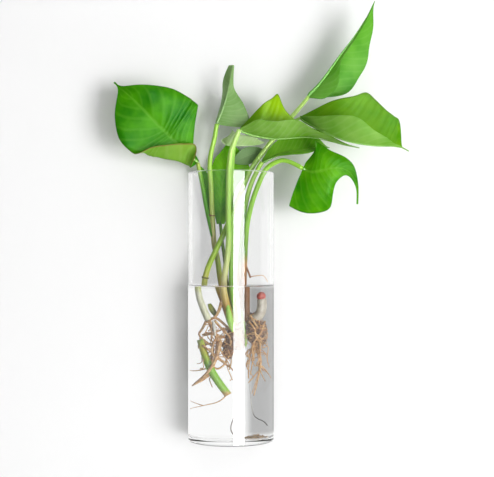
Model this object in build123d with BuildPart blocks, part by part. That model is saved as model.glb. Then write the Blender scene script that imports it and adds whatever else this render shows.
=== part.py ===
"""Wall-hung glass propagation vase with a rooted leafy cutting, in millimetres, +Z up, front towards -Y."""

import os
from math import cos, radians, sin, tan

from build123d import *

os.makedirs("parts", exist_ok=True)

# Glass vessel: a tube of D section, flat at the back so that it lies against a wall
VESSEL_WIDTH = 80.0
VESSEL_HEIGHT = 250.0
BACK_OFFSET = 10.0
WALL = 3.0
BASE_THICKNESS = 4.0
BACK_CORNER = 6.0
RIM_ROUND = 1.2
FOOT_ROUND = 2.0
FLOOR_ROUND = 3.0
HANG_HOLE = 8.0
HANG_HOLE_DROP = 14.0
HANG_HOLE_CHAMFER = 0.5

# Water and what lies on the floor
WATER_DEPTH = 140.0
SILT_LENGTH = 24.0
SILT_WIDTH = 17.0
SILT_HEIGHT = 3.0
SILT_GAP = 6.0
SILT_FORWARD = 16.0

# Plant
BLADE_THICKNESS = 0.8
CLUMP_RADIUS = 12.5
CLUMP_HEIGHT = 35.0
CLUMP_ROUND = 6.0
NODE_RING = 7.0
NODE_RING_HEIGHT = 1.6
NODE_RING_LEVEL = 152.0
BUD_RADIUS = 4.2
WATER_CLEARANCE = 0.3

# The room in the vessel for which the points of the plant below were chosen: they follow the vessel's sizes
ROUTE_RADIUS = 37.0
ROUTE_BACK = 7.0
ROUTE_FLOOR = 4.0
ROUTE_RIM = 250.0

# Share of the shorter run that a bend between two runs of a stem takes up
BEND_SHARE = 0.45

# Values that follow from the sizes above
OUTER_RADIUS = VESSEL_WIDTH / 2
INNER_RADIUS = OUTER_RADIUS - WALL
FLOOR = BASE_THICKNESS
WATER_LEVEL = FLOOR + WATER_DEPTH
INNER_BACK = BACK_OFFSET - WALL
HOLE_HEIGHT = VESSEL_HEIGHT - HANG_HOLE_DROP
SPREAD = INNER_RADIUS / ROUTE_RADIUS
SILT_MIDDLE = (INNER_RADIUS - SILT_LENGTH / 2 - SILT_GAP, INNER_BACK - SILT_FORWARD)

# Middles of the root clump and the bud
CLUMP_FOOT = (6.5, -7.5, 86)
BUD_MIDDLE = (24.3, -12, 135)

# Blades: the face that is the upper side of the leaf, then one station per midrib point:
# x, y, z, left width, right width, left fold and curl, right fold and curl (degrees)
BLADES = {
    "leaf_left": (
        (0, -1, 0),
        [
            (-31, -3, 259, 2, 2, 8, 8, 8, 8),
            (-39, -7, 267, 18, 7, 10, 150, 5, -5),
            (-50, -11, 275, 40, 23, 10, 175, 5, -15),
            (-57, -13, 283, 40, 38, 8, 130, 5, -20),
            (-65, -15.5, 292, 36, 37, 5, 60, 5, -25),
            (-78, -18, 307, 33, 29, 5, -20, 5, -25),
            (-91, -18, 319, 20, 14, 5, -20, 5, -15),
            (-102, -14, 327, 3, 2.5, 8, 8, 8, 8),
            (-108, -11, 333, 0.8, 0.8, 8, 8, 8, 8),
        ],
    ),
    "leaf_standing": (
        (0, 1, 0),
        [
            (-13, -12, 294, 2, 2, 10, 10, 60, 60),
            (-11, -13, 299, 20, 9, 0, 10, 70, 80),
            (-8, -13.5, 306, 27, 14, 0, 10, 70, 85),
            (-4.5, -13, 316, 18, 17, 5, 15, 65, 85),
            (-2, -12, 327, 6, 15, 10, 20, 60, 80),
            (-0.5, -10.5, 336, 3, 12, 10, 30, 50, 65),
            (2, -9, 349, 1, 5, 10, 40, 40, 50),
        ],
    ),
    "leaf_folded": (
        (0, 0, 1),
        [
            (8, -20, 288, 2, 2, 60, 60, 40, 40),
            (20, -19, 284, 27, 18, 80, 92, 25, 65),
            (31, -18.5, 281.5, 36, 20, 80, 95, 25, 65),
            (43, -18.5, 280, 41, 21, 80, 98, 25, 65),
            (54, -18.5, 281, 24, 21, 78, 95, 25, 65),
            (65, -19, 282, 12, 19, 70, 90, 25, 60),
            (77, -20.5, 281.5, 8, 12, 60, 70, 15, 40),
            (90, -22, 278, 7, 9, 40, 50, 15, 30),
            (103, -23, 274, 5, 6, 30, 30, 10, 10),
            (118, -24, 271, 0.8, 0.8, 8, 8, 8, 8),
        ],
    ),
    "leaf_middle": (
        (0, 0, 1),
        [
            (-8, -7, 280, 1.5, 1.5, 60, 60, 55, 55),
            (-3, -8, 275.5, 8, 15, 60, 70, 55, 85),
            (7, -8, 275, 8, 11, 60, 70, 50, 75),
            (17, -8, 275, 8, 10, 60, 70, 45, 70),
            (25, -8.5, 275.5, 6, 8, 60, 60, 45, 60),
            (31, -9, 277.5, 0.8, 0.8, 20, 20, 20, 20),
        ],
    ),
    "leaf_tall": (
        (0.78, 0, -0.62),
        [
            (72, -16, 319, 3, 3, 40, 40, 40, 40),
            (79, -18, 325, 13, 12, 55, 70, 55, 70),
            (88, -20, 336, 14, 25, 55, 80, 60, 90),
            (98, -21, 351, 4, 26, 50, 70, 60, 90),
            (107, -22, 363, 2.5, 24, 40, 50, 60, 85),
            (115, -23, 374, 2, 17, 40, 40, 55, 75),
            (124, -24, 389, 1.5, 10, 40, 40, 50, 60),
            (132, -25, 405, 0.8, 0.8, 8, 8, 8, 8),
        ],
    ),
    "leaf_broad": (
        (0, 0, 1),
        [
            (64, -16, 299, 3, 3, 70, 70, 50, 50),
            (79, -28, 290, 27, 17, 75, 85, 45, 80),
            (96, -36, 279, 42, 30, 75, 85, 45, 85),
            (110, -38, 273, 50, 33, 75, 85, 45, 85),
            (128, -38, 272, 46, 20, 75, 85, 45, 80),
            (140, -38, 272.5, 35, 10, 75, 85, 45, 70),
            (148, -37, 272, 22, 3, 75, 85, 45, 50),
            (155, -36, 270, 1.5, 1, 60, 60, 45, 45),
            (161.5, -35, 267, 0.8, 0.8, 8, 8, 8, 8),
        ],
    ),
    "leaf_arching": (
        (0, 0, 1),
        [
            (29, -12, 259, 2.5, 2.5, 50, 50, -15, -15),
            (40, -13, 265, 10, 4, 60, 75, -15, -30),
            (53, -14, 268.5, 17, 10, 60, 75, -15, -30),
            (66, -15, 270, 19, 12, 60, 75, -15, -30),
            (79, -16, 272, 14, 8, 55, 65, -15, -30),
            (91, -17, 272, 0.8, 0.8, 8, 8, 8, 8),
        ],
    ),
    "leaf_drooping": (
        (0, -1, 0),
        [
            (66, -24, 252, 5, 20, 5, -10, 5, -15),
            (74, -28, 249, 25, 39, 5, -25, 5, -35),
            (83, -30, 250, 28, 37, 5, -35, 5, -35),
            (93, -31, 252, 17, 18, 5, -35, 5, -30),
            (103, -31, 251, 10, 7, 5, -30, 5, -20),
            (110, -31, 246, 5, 3, 8, -10, 8, -10),
            (115, -32, 234, 1.2, 1.2, 8, 8, 8, 8),
            (115, -33, 219, 0.8, 0.8, 8, 8, 8, 8),
        ],
    ),
    "leaf_inner": (
        (0, -1, 0),
        [
            (-10, 3.5, 202, 3.5, 4, 8, 8, 8, 8),
            (-9.5, 3.5, 220, 8, 10, 5, -5, 5, -5),
            (-8, 3.5, 239, 13, 14, 5, -5, 5, -5),
            (-4, 3.5, 257, 13, 22, 5, -5, 5, -5),
            (-1, 3.5, 266, 10, 17, 5, -5, 5, -5),
            (1, 3.5, 275, 6, 4, 8, 8, 8, 8),
        ],
    ),
    "leaf_back": (
        (0, -1, 0),
        [
            (30.8, -1.7, 270.3, 1.5, 1.5, 8, 8, 8, 8),
            (24, 0.5, 268.5, 6, 6, 5, 10, 5, 10),
            (15, 1, 265.5, 8, 8, 5, 10, 5, 10),
            (7, 1, 262, 5, 5, 5, 10, 5, 10),
            (1.5, 1, 260, 0.8, 0.8, 8, 8, 8, 8),
        ],
    ),
}

# Round stems and roots: diameter, then the route from the carried end towards what carries it
STEMS = {
    "stem_main": (5.4, [
        (52, -8, 296), (41, -5, 283), (31, -4.5, 270), (19, -5, 254), (12, -6.5, 238), (4, -8, 218),
        (-4.5, -8, 197), (-12, -7, 181), (-18, -6, 169), (-22.5, -5, 158), (-25, -4, 146),
        (-24, -4, 135), (-20, -5, 122), (-16.5, -6, 113),
    ]),
    "petiole_tall": (4.2, [(72, -16, 319), (62, -11.5, 307), (52, -8, 296)]),
    "petiole_broad": (3.2, [(64, -16, 299), (58, -11.5, 297), (47.5, -6.8, 290.7)]),
    "petiole_standing": (5.2, [
        (-13, -12, 294), (-14.5, -12, 282), (-18.5, -10, 268), (-20, -7, 255), (-18.5, -4, 240), (-18, -1, 220),
        (-17, 1.5, 200), (-16, 2, 182), (-12.5, 2, 170), (-10, 1.5, 147), (-2.5, -2.5, 121), (-0.5, -4, 112),
    ]),
    "petiole_left": (4.6, [(-31, -3, 259), (-28.5, -1, 247), (-26, 0.5, 235), (-22.5, 1.5, 214), (-16.5, 1.8, 190)]),
    "petiole_folded": (5.6, [
        (8, -20, 288), (4, -20.5, 278), (0.5, -20, 269), (-1, -19, 259), (-2, -16, 240), (-2.2, -14.5, 205),
        (-1.6, -14, 190), (-2.9, -12.5, 172), (-4.7, -11, 160), (-7, -9.5, 147), (-2, -10, 121), (0, -10, 112),
    ]),
    "petiole_middle": (4.4, [
        (3, -8, 273.6), (1.5, -5, 260), (1, -3, 245), (1, -2.5, 220), (1, -2.5, 195), (0.5, -3, 170),
        (0, -3.5, 146), (3.5, -5, 118), (4, -6, 110),
    ]),
    "petiole_inner": (3.6, [
        (-10, 3.5, 202), (-9, 3.5, 190), (-6, 3.5, 170), (-4, 3, 147), (1.5, 1, 121), (2, 0, 110),
    ]),
    "petiole_arching": (5, [
        (29, -12, 259), (24, -11, 251), (18, -10, 238), (14, -10, 222), (11, -9, 203), (9.5, -7, 180),
        (8, -5, 160), (7, -4, 146), (9.5, -3.5, 121), (9.5, -4, 112),
    ]),
    "petiole_drooping": (5, [
        (66, -24, 252), (52, -20, 261), (40, -16.5, 258.5), (30.5, -13.5, 251), (25, -14, 238), (20, -14, 224),
        (17, -13.5, 212), (14.5, -13, 200), (13, -12, 178), (12, -10, 146), (12, -10.5, 121), (12, -10, 112),
    ]),
}

ROOTS = {
    "root_tan": (2.4, [(-16.5, -6, 113), (-12, -7, 116.5), (-6, -8, 111), (0, -8, 104)]),
    "stem_cut": (6.6, [(-24, -10, 95), (-19, -10, 78), (-13, -10, 62), (-2, -10, 45)]),
    "root_join": (2.4, [(-16.5, -6, 114), (-11, -7, 102), (-9.5, -8, 88), (-13, -9.5, 72), (-15, -10, 66)]),
    "root_coil": (1.8, [(-21, -5, 99), (-16, -4, 103), (-8, -4, 96), (0, -6, 100)]),
    "root_left_thick": (3, [(-31, -6, 52), (-22, -9, 57), (-14.5, -10, 65)]),
    "root_left_thin": (1.2, [(-33, -4, 66), (-26, -6, 65), (-16, -10, 70)]),
    "root_forked": (1.2, [(-33, -5, 30.5), (-22, -9, 34.5), (-6, -10, 39), (-3, -10, 46)]),
    "root_fork_tip": (1, [(-33, -5, 38), (-28, -7, 36.5), (-21, -9, 34.7)]),
    "root_hook": (1.2, [(5, -10, 7), (1, -10, 8.5), (-0.5, -10, 16), (3, -10, 26), (8, -9.5, 50), (8, -8, 90)]),
    "root_dark": (1.4, [(29, -8, 15.5), (26, -8, 20), (20.5, -8, 22), (16, -8, 27), (14, -8, 55), (12, -8, 92)]),
    "root_right_long": (2, [(13.5, -12, 56), (19, -10, 63), (24, -9, 71), (22, -8.5, 84), (14, -8, 96)]),
    "root_right_side": (1.6, [(33, -6, 59), (28, -8, 66), (24, -9, 71)]),
    "root_right_low": (1.4, [(16, -10, 46), (20, -9.5, 58), (22, -9, 68)]),
    "stub_pale": (9, [(24.5, -11.5, 133), (26, -9.5, 123), (17, -8.5, 112), (10, -8, 108)]),
    "root_twig": (1.8, [(18, -13, 152), (15.5, -12.5, 159), (12.5, -11.3, 167)]),
    "root_arch": (0.8, [(34, -4, 148), (31, -6, 154.5), (25, -9, 154), (18, -13, 153)]),
}

# What each stem or root grows on: the carried piece is cut at the surface of the carrier
CARRIERS = {
    "petiole_tall": ["stem_main"],
    "petiole_broad": ["stem_main", "petiole_tall"],
    "petiole_standing": ["root_clump"],
    "petiole_left": ["petiole_standing"],
    "petiole_folded": ["root_clump"],
    "petiole_middle": ["root_clump"],
    "petiole_inner": ["root_clump"],
    "petiole_arching": ["root_clump"],
    "petiole_drooping": ["root_clump"],
    "root_tan": ["stem_main", "root_clump"],
    "root_join": ["stem_main", "root_tan", "stem_cut"],
    "root_coil": ["root_clump"],
    "root_left_thick": ["stem_cut"],
    "root_left_thin": ["stem_cut"],
    "root_forked": ["stem_cut"],
    "root_fork_tip": ["root_forked"],
    "root_hook": ["root_clump"],
    "root_dark": ["root_clump"],
    "root_right_long": ["root_clump"],
    "root_right_side": ["root_right_long"],
    "root_right_low": ["root_right_long"],
    "stub_pale": ["root_clump"],
    "root_twig": ["petiole_drooping"],
    "root_arch": ["root_twig"],
}

# The petiole that each blade starts from, at its end face; the other two blades lie against a stem
PETIOLES = {
    "leaf_left": "petiole_left",
    "leaf_standing": "petiole_standing",
    "leaf_folded": "petiole_folded",
    "leaf_tall": "petiole_tall",
    "leaf_broad": "petiole_broad",
    "leaf_arching": "petiole_arching",
    "leaf_drooping": "petiole_drooping",
    "leaf_inner": "petiole_inner",
}


def place(point):
    """A point of the plant, moved to where the vessel's own room puts it."""
    rise = (VESSEL_HEIGHT - FLOOR) / (ROUTE_RIM - ROUTE_FLOOR)
    x, y, z = point
    return Vector(x * SPREAD, INNER_BACK + (y - ROUTE_BACK) * SPREAD, FLOOR + (z - ROUTE_FLOOR) * rise)


def d_prism(radius, back, corner, height):
    """A D-shaped block on the ground plane: a round front and a flat back with rounded corners."""
    with BuildPart() as made:
        with BuildSketch() as outline:
            Circle(radius)
            with Locations((0, back)):
                Rectangle(4 * radius, 4 * radius, align=(Align.CENTER, Align.MIN), mode=Mode.SUBTRACT)
            fillet(outline.vertices(), corner)
        extrude(amount=height)
    return made


def cavity(height):
    """The room inside the glass, from the floor up to the given height above it."""
    with BuildPart() as made:
        add(d_prism(INNER_RADIUS, INNER_BACK, BACK_CORNER - WALL, height).part)
        fillet(made.faces().sort_by(Axis.Z)[0].edges(), FLOOR_ROUND)
    return Pos(0, 0, FLOOR) * made.part


def half_point(width, fold, curl, share, depth):
    """A point across half a blade that bends from fold to curl, at a depth under its upper face."""
    start, turn = radians(fold), radians(curl - fold)
    angle = start + turn * share
    if abs(turn) < 0.02:
        out, rise = width * share * cos(start), width * share * sin(start)
    else:
        out = width * (sin(angle) - sin(start)) / turn
        rise = width * (cos(start) - cos(angle)) / turn
    return out + depth * sin(angle), rise - depth * cos(angle)


def crease_point(left_fold, right_fold, depth):
    """The point under the midrib where the undersides of the two halves meet."""
    left, right = radians(left_fold), radians(right_fold)
    shrink = depth / (1 + cos(left + right))
    return (sin(right) - sin(left)) * shrink, -(cos(right) + cos(left)) * shrink


def between(stations):
    """The stations with one more halfway along each span, on a smooth curve through them."""
    count = len(stations)
    finer = []
    for i in range(count - 1):
        before, start, end, after = (stations[min(max(k, 0), count - 1)] for k in (i - 1, i, i + 1, i + 2))
        finer.append(start)
        finer.append(tuple((9 * (b + c) - a - d) / 16 for a, b, c, d in zip(before, start, end, after)))
    return finer + [stations[-1]]


def blade(facing, stations, route):
    """A leaf blade: a loft through thin folded sections, one across each point of the midrib.

    With the route of a petiole, the first section lies on the end face of that petiole.
    """
    stations = between(stations)
    ribs = [place(station[:3]) for station in stations]
    with BuildPart() as made:
        for i, station in enumerate(stations):
            left, right, left_fold, left_curl, right_fold, right_curl = station[3:]
            heading = (ribs[min(i + 1, len(ribs) - 1)] - ribs[max(i - 1, 0)]).normalized()
            if route and i == 0:
                heading = (place(route[0]) - place(route[1])).normalized()
            across = heading.cross(Vector(*facing)).normalized()
            with BuildSketch(Plane(ribs[i], x_dir=across, z_dir=-heading)):
                with BuildLine():
                    crease = crease_point(left_fold, right_fold, BLADE_THICKNESS)
                    ends = {}
                    for side, width, fold, curl in (
                        (1, right * SPREAD, right_fold, right_curl),
                        (-1, left * SPREAD, left_fold, left_curl),
                    ):
                        for depth, start in ((0, (0, 0)), (BLADE_THICKNESS, crease)):
                            middle = half_point(width, fold, curl, 0.5, depth)
                            end = half_point(width, fold, curl, 1, depth)
                            ends[side, depth] = (side * end[0], end[1])
                            if abs(curl - fold) < 3:
                                Line(start, ends[side, depth])
                            else:
                                ThreePointArc(start, (side * middle[0], middle[1]), ends[side, depth])
                        Line(ends[side, 0], ends[side, BLADE_THICKNESS])
                make_face()
        loft(ruled=True)
    return made


def bends(points):
    """The largest radius of the bend at each inner point of a route that its two runs leave room for."""
    radii = []
    for before, here, after in zip(points, points[1:], points[2:]):
        turn = radians((here - before).get_angle(after - here))
        radii.append(BEND_SHARE * min((here - before).length, (after - here).length) / tan(turn / 2))
    return radii


def tube(diameter, route, carriers):
    """A round stem or root along straight runs joined by bends, cut where it grows on its carriers."""
    points = [place(point) for point in route]
    with BuildPart() as made:
        with BuildLine() as path:
            FilletPolyline(*points, radius=bends(points))
        with BuildSketch(Plane(path.line @ 0, z_dir=path.line % 0)):
            Circle(diameter / 2)
        sweep()
        for carrier in carriers:
            add(carrier.part, mode=Mode.SUBTRACT)
    return made


def clump(room):
    """The mass of roots at the foot of the cutting, with some room around it."""
    with BuildPart() as made:
        with BuildSketch(Plane(place(CLUMP_FOOT)).offset(-room)):
            Circle(CLUMP_RADIUS * SPREAD + room)
        extrude(amount=CLUMP_HEIGHT + 2 * room)
        fillet(made.edges().filter_by(GeomType.CIRCLE), CLUMP_ROUND + room)
    return made


def bud(room):
    """The round red bud on the end of the pale stub, with some room around it."""
    with BuildPart() as made:
        with Locations(place(BUD_MIDDLE)):
            Sphere(BUD_RADIUS + room)
    return made


# Glass vessel
with BuildPart() as glass_vessel:
    add(d_prism(OUTER_RADIUS, BACK_OFFSET, BACK_CORNER, VESSEL_HEIGHT).part)
    fillet(glass_vessel.faces().sort_by(Axis.Z)[0].edges(), FOOT_ROUND)
    add(cavity(VESSEL_HEIGHT), mode=Mode.SUBTRACT)
    fillet(glass_vessel.faces().sort_by(Axis.Z)[-1].edges(), RIM_ROUND)
    with Locations(Location((0, BACK_OFFSET, HOLE_HEIGHT), (90, 0, 0))):
        Hole(HANG_HOLE / 2, depth=2 * WALL)
    hole_edges = glass_vessel.edges().filter_by(GeomType.CIRCLE).filter_by(
        lambda edge: abs(edge.radius - HANG_HOLE / 2) < 0.01
    )
    chamfer(hole_edges, HANG_HOLE_CHAMFER)

# Root clump and the silt on the floor
root_clump = clump(0)
with BuildPart() as floor_silt:
    with BuildSketch(Plane.XY.offset(FLOOR)):
        with Locations(SILT_MIDDLE):
            Ellipse(SILT_LENGTH / 2, SILT_WIDTH / 2)
    extrude(amount=SILT_HEIGHT)
    fillet(floor_silt.faces().sort_by(Axis.Z)[-1].edges(), SILT_HEIGHT / 2)
made_parts = {"glass_vessel": glass_vessel, "root_clump": root_clump, "floor_silt": floor_silt}

# Stems and roots, each after what it grows on
for name, (diameter, route) in (STEMS | ROOTS).items():
    carriers = [made_parts[carrier] for carrier in CARRIERS.get(name, [])]
    made_parts[name] = tube(diameter, route, carriers)

# Node ring round the main stem, halfway along the run that passes its level
ring_level = place((0, 0, NODE_RING_LEVEL)).Z
main_points = [place(point) for point in STEMS["stem_main"][1]]
above, below = next(run for run in zip(main_points, main_points[1:]) if run[0].Z >= ring_level > run[1].Z)
with BuildPart() as stem_main:
    add(made_parts["stem_main"].part)
    with BuildSketch(Plane((above + below) / 2, z_dir=above - below)):
        Circle(NODE_RING / 2)
    extrude(amount=NODE_RING_HEIGHT / 2, both=True)
made_parts["stem_main"] = stem_main

# Bud on the end of the pale stub
with BuildPart() as bud_red:
    add(bud(0).part)
    add(made_parts["stub_pale"].part, mode=Mode.SUBTRACT)
made_parts["bud_red"] = bud_red

# Leaves
for name, (facing, stations) in BLADES.items():
    route = STEMS[PETIOLES[name]][1] if name in PETIOLES else None
    made_parts[name] = blade(facing, stations, route)

# Water: the lower part of the room in the glass, less the silt and, with clearance, the plant that stands in it
with BuildPart() as water:
    add(cavity(WATER_DEPTH))
    add(floor_silt.part, mode=Mode.SUBTRACT)
    add(clump(WATER_CLEARANCE).part, mode=Mode.SUBTRACT)
    add(bud(WATER_CLEARANCE).part, mode=Mode.SUBTRACT)
    for name, (diameter, route) in (STEMS | ROOTS).items():
        if made_parts[name].part.bounding_box().min.Z < WATER_LEVEL:
            add(tube(diameter + 2 * WATER_CLEARANCE, route, []).part, mode=Mode.SUBTRACT)
made_parts["water"] = water

for name, made in made_parts.items():
    made.part.label = name
    export_step(made.part, "parts/" + name + ".step")
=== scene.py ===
"""Looks of a wall-hung glass propagation vase with rooted cuttings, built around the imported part."""

import math
import random

import bpy
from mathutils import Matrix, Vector, noise


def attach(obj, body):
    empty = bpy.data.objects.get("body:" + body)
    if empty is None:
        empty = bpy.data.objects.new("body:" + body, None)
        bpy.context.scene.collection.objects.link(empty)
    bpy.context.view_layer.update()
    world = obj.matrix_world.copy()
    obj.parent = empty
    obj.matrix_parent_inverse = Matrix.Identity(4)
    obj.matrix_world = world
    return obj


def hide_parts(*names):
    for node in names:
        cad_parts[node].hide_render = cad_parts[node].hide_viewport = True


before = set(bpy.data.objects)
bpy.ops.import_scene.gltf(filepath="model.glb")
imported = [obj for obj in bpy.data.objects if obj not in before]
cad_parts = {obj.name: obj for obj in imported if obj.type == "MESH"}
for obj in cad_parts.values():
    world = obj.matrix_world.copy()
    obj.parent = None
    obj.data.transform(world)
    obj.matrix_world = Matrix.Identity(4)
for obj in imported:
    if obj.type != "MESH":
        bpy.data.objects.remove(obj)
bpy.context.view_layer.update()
bpy.ops.object.select_all(action="DESELECT")

# Glass vessel. A clear D-shaped tube of drawn glass, flat at the back and closed by a floor, with a
# fire-polished rim and a ground hole for the wall hook. Its own solid is shown, with a glass finish.
GLASS_INDEX = 1.5
GLASS_TINT = (0.998, 1, 0.999, 1)
GLASS_LAMP_TINT = (0.985, 0.985, 0.98, 1)
LEAVING_TINT = (0.99, 0.99, 0.99, 1)


def colour(red, green, blue, depth=1.0):
    """A colour given as 0 to 255 on the screen, as the linear values that a shader takes, made deeper."""
    linear = [c / 255 / 12.92 if c <= 10 else ((c / 255 + 0.055) / 1.055) ** 2.4 for c in (red, green, blue)]
    return (*(depth * c for c in linear), 1.0)


def new_finish(name):
    """A material with only its main shader and output, and its tree for more nodes."""
    finish = bpy.data.materials.new(name)
    finish.use_nodes = True
    return finish, finish.node_tree, finish.node_tree.nodes["Principled BSDF"]


def put(tree, kind, inputs=(), **settings):
    """A new node with its settings made, and its inputs set or linked, by name or place."""
    node = tree.nodes.new(kind)
    for setting, value in settings.items():
        setattr(node, setting, value)
    for key, value in dict(inputs).items():
        if isinstance(value, bpy.types.NodeSocket):
            tree.links.new(value, node.inputs[key])
        else:
            node.inputs[key].default_value = value
    return node


def mixed(tree, share, first, second, **settings):
    """The colour between two colours, by a share."""
    return put(
        tree, "ShaderNodeMix", {0: share, 6: first, 7: second}, data_type="RGBA", **settings
    ).outputs[2]


def shown(tree, share, first, second):
    """Shows a mix of two shaders, by a share, as the surface."""
    mix = put(tree, "ShaderNodeMixShader", {0: share, 1: first.outputs[0], 2: second.outputs[0]})
    tree.links.new(mix.outputs[0], tree.nodes["Material Output"].inputs["Surface"])


def clear_finish(name, tint, index, lamp_tint):
    """A clear material of one index of refraction that lets lamp light through to what stands inside."""
    finish, tree, shader = new_finish(name)
    shader.inputs["Base Color"].default_value = tint
    shader.inputs["Roughness"].default_value = 0.0
    shader.inputs["IOR"].default_value = index
    shader.inputs["Transmission Weight"].default_value = 1.0
    side = put(tree, "ShaderNodeNewGeometry").outputs["Backfacing"]
    passing = put(tree, "ShaderNodeBsdfTransparent", {"Color": mixed(tree, side, lamp_tint, LEAVING_TINT)})
    shown(tree, put(tree, "ShaderNodeLightPath").outputs["Is Shadow Ray"], shader, passing)
    return finish


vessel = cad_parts["glass_vessel"]
vessel.data.materials.clear()
vessel.data.materials.append(clear_finish("clear_glass", GLASS_TINT, GLASS_INDEX, GLASS_LAMP_TINT))

# Water. It fills the vessel to a little over half its height, rounds into the corners of the glass and
# climbs its wall in a thin rim. It reaches just into the glass, so that no air shows between the two.
MM = 0.001
WATER_RADIUS = 37.1 * MM
WATER_BACK = 7.1 * MM
WATER_FOOT = 3.9 * MM
WATER_TOP = 145.4 * MM
WATER_CORNER = 3.1 * MM
WATER_ROUND = 2.9 * MM
WATER_SIDES = 160
WATER_INDEX = 1.333
WATER_TINT = (0.998, 1, 0.998, 1)
WATER_LAMP_TINT = (0.24, 0.25, 0.24, 1)
SMOOTH_BELOW = math.radians(40)
CORNER_TURNS = (20, 35, 50, 65, 80)
FOOT_TURNS = (0, 18, 36, 54, 72, 90)
MENISCUS_STEPS = ((0.5 * MM, -0.7 * MM), (0.7 * MM, -0.45 * MM), (1.2 * MM, -0.25 * MM))


def edit(piece):
    """Opens one piece in edit mode with nothing selected."""
    bpy.ops.object.select_all(action="DESELECT")
    bpy.context.view_layer.objects.active = piece
    piece.select_set(True)
    bpy.ops.object.mode_set(mode="EDIT")
    bpy.ops.mesh.select_all(action="DESELECT")


def cut_off(place, away):
    """Cuts the open piece by a plane, drops what lies beyond it and closes the cut."""
    bpy.ops.mesh.select_all(action="SELECT")
    bpy.ops.mesh.bisect(plane_co=place, plane_no=away, use_fill=True, clear_outer=True)


def pick_faces(piece, wanted):
    """Selects the faces whose middle and normal the test takes."""
    bpy.ops.mesh.select_mode(type="FACE")
    bpy.ops.object.mode_set(mode="OBJECT")
    for face in piece.data.polygons:
        face.select = wanted(face.center, face.normal)
    bpy.ops.object.mode_set(mode="EDIT")


bpy.ops.mesh.primitive_cylinder_add(
    vertices=WATER_SIDES,
    radius=WATER_RADIUS,
    depth=WATER_TOP - WATER_FOOT - WATER_ROUND,
    location=(0, 0, (WATER_TOP + WATER_FOOT + WATER_ROUND) / 2),
)
water = bpy.context.object
water.name = "water_fill"
bpy.ops.object.transform_apply(location=True)
edit(water)
cut_off((0, WATER_BACK, 0), (0, 1, 0))
corner_y = WATER_BACK - WATER_CORNER
corner_x = math.sqrt((WATER_RADIUS - WATER_CORNER) ** 2 - corner_y**2)
for turn in CORNER_TURNS:
    for hand in (-1, 1):
        away = Vector((hand * math.cos(math.radians(turn)), math.sin(math.radians(turn)), 0))
        cut_off(Vector((hand * corner_x, corner_y, 0)) + away * WATER_CORNER, away)
pick_faces(water, lambda middle, normal: normal.z < -0.9)
for turn, next_turn in zip(FOOT_TURNS, FOOT_TURNS[1:]):
    near, far = math.radians(turn), math.radians(next_turn)
    bpy.ops.mesh.inset(thickness=WATER_ROUND * (math.cos(near) - math.cos(far)))
    bpy.ops.transform.translate(value=(0, 0, WATER_ROUND * (math.sin(near) - math.sin(far))))
pick_faces(water, lambda middle, normal: middle.z > WATER_TOP - 1e-5)
for inward, down in MENISCUS_STEPS:
    bpy.ops.mesh.inset(thickness=inward)
    bpy.ops.transform.translate(value=(0, 0, down))
bpy.ops.object.mode_set(mode="OBJECT")
bpy.ops.object.shade_smooth_by_angle(angle=SMOOTH_BELOW)
bpy.ops.object.select_all(action="DESELECT")
water.data.materials.append(clear_finish("clear_water", WATER_TINT, WATER_INDEX, WATER_LAMP_TINT))
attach(water, "vase")
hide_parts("water")

# Silt. Crumbs of old bark and root that have settled on the floor of the glass at the right, loose and
# uneven. One crumb is modelled and copied, each copy turned and sized by chance.
SILT_MIDDLE = Vector((19, -9, 4)) * MM
SILT_LENGTH = 24 * MM
SILT_WIDTH = 17 * MM
SILT_CRUMBS = 230
SILT_HEAP = 4.2 * MM
SILT_LIFT = 0.5 * MM
SILT_EDGE = 1 * MM
CRUMB_SIZES = (0.4 * MM, 1.1 * MM)
CRUMB_TILT = 0.5
RELIEF_DEPTH = 0.0006


def two_tones(tree, share, dark, light, start, end):
    """A colour from dark to light, as a share goes from its start to its end."""
    ramp = put(tree, "ShaderNodeValToRGB", {0: share})
    first, last = ramp.color_ramp.elements
    first.position, first.color = start, dark
    last.position, last.color = end, light
    return ramp.outputs["Color"]


def grain_finish(name, dark, light, scale, roughness, bump):
    """A matt natural material: two tones mixed by a noise, with a fine rough surface."""
    finish, tree, shader = new_finish(name)
    place = put(tree, "ShaderNodeTexCoord").outputs["Object"]
    coarse = put(
        tree, "ShaderNodeTexNoise", {"Vector": place, "Scale": scale, "Detail": 6, "Roughness": 0.65}
    )
    fine = put(tree, "ShaderNodeTexNoise", {"Vector": place, "Scale": scale * 6, "Detail": 4}).outputs["Fac"]
    relief = put(tree, "ShaderNodeBump", {"Height": fine, "Strength": bump, "Distance": RELIEF_DEPTH})
    tones = two_tones(tree, coarse.outputs["Fac"], dark, light, 0.36, 0.64)
    tree.links.new(tones, shader.inputs["Base Color"])
    tree.links.new(relief.outputs[0], shader.inputs["Normal"])
    shader.inputs["Roughness"].default_value = roughness
    return finish


def joined(pieces, name):
    """Several objects as one, under one name, at the origin."""
    bpy.ops.object.select_all(action="DESELECT")
    for piece in pieces:
        piece.select_set(True)
    bpy.context.view_layer.objects.active = pieces[0]
    if len(pieces) > 1:
        bpy.ops.object.join()
    bpy.ops.object.transform_apply(location=True, rotation=True, scale=True)
    whole = bpy.context.object
    whole.name = name
    bpy.ops.object.select_all(action="DESELECT")
    return whole


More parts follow.
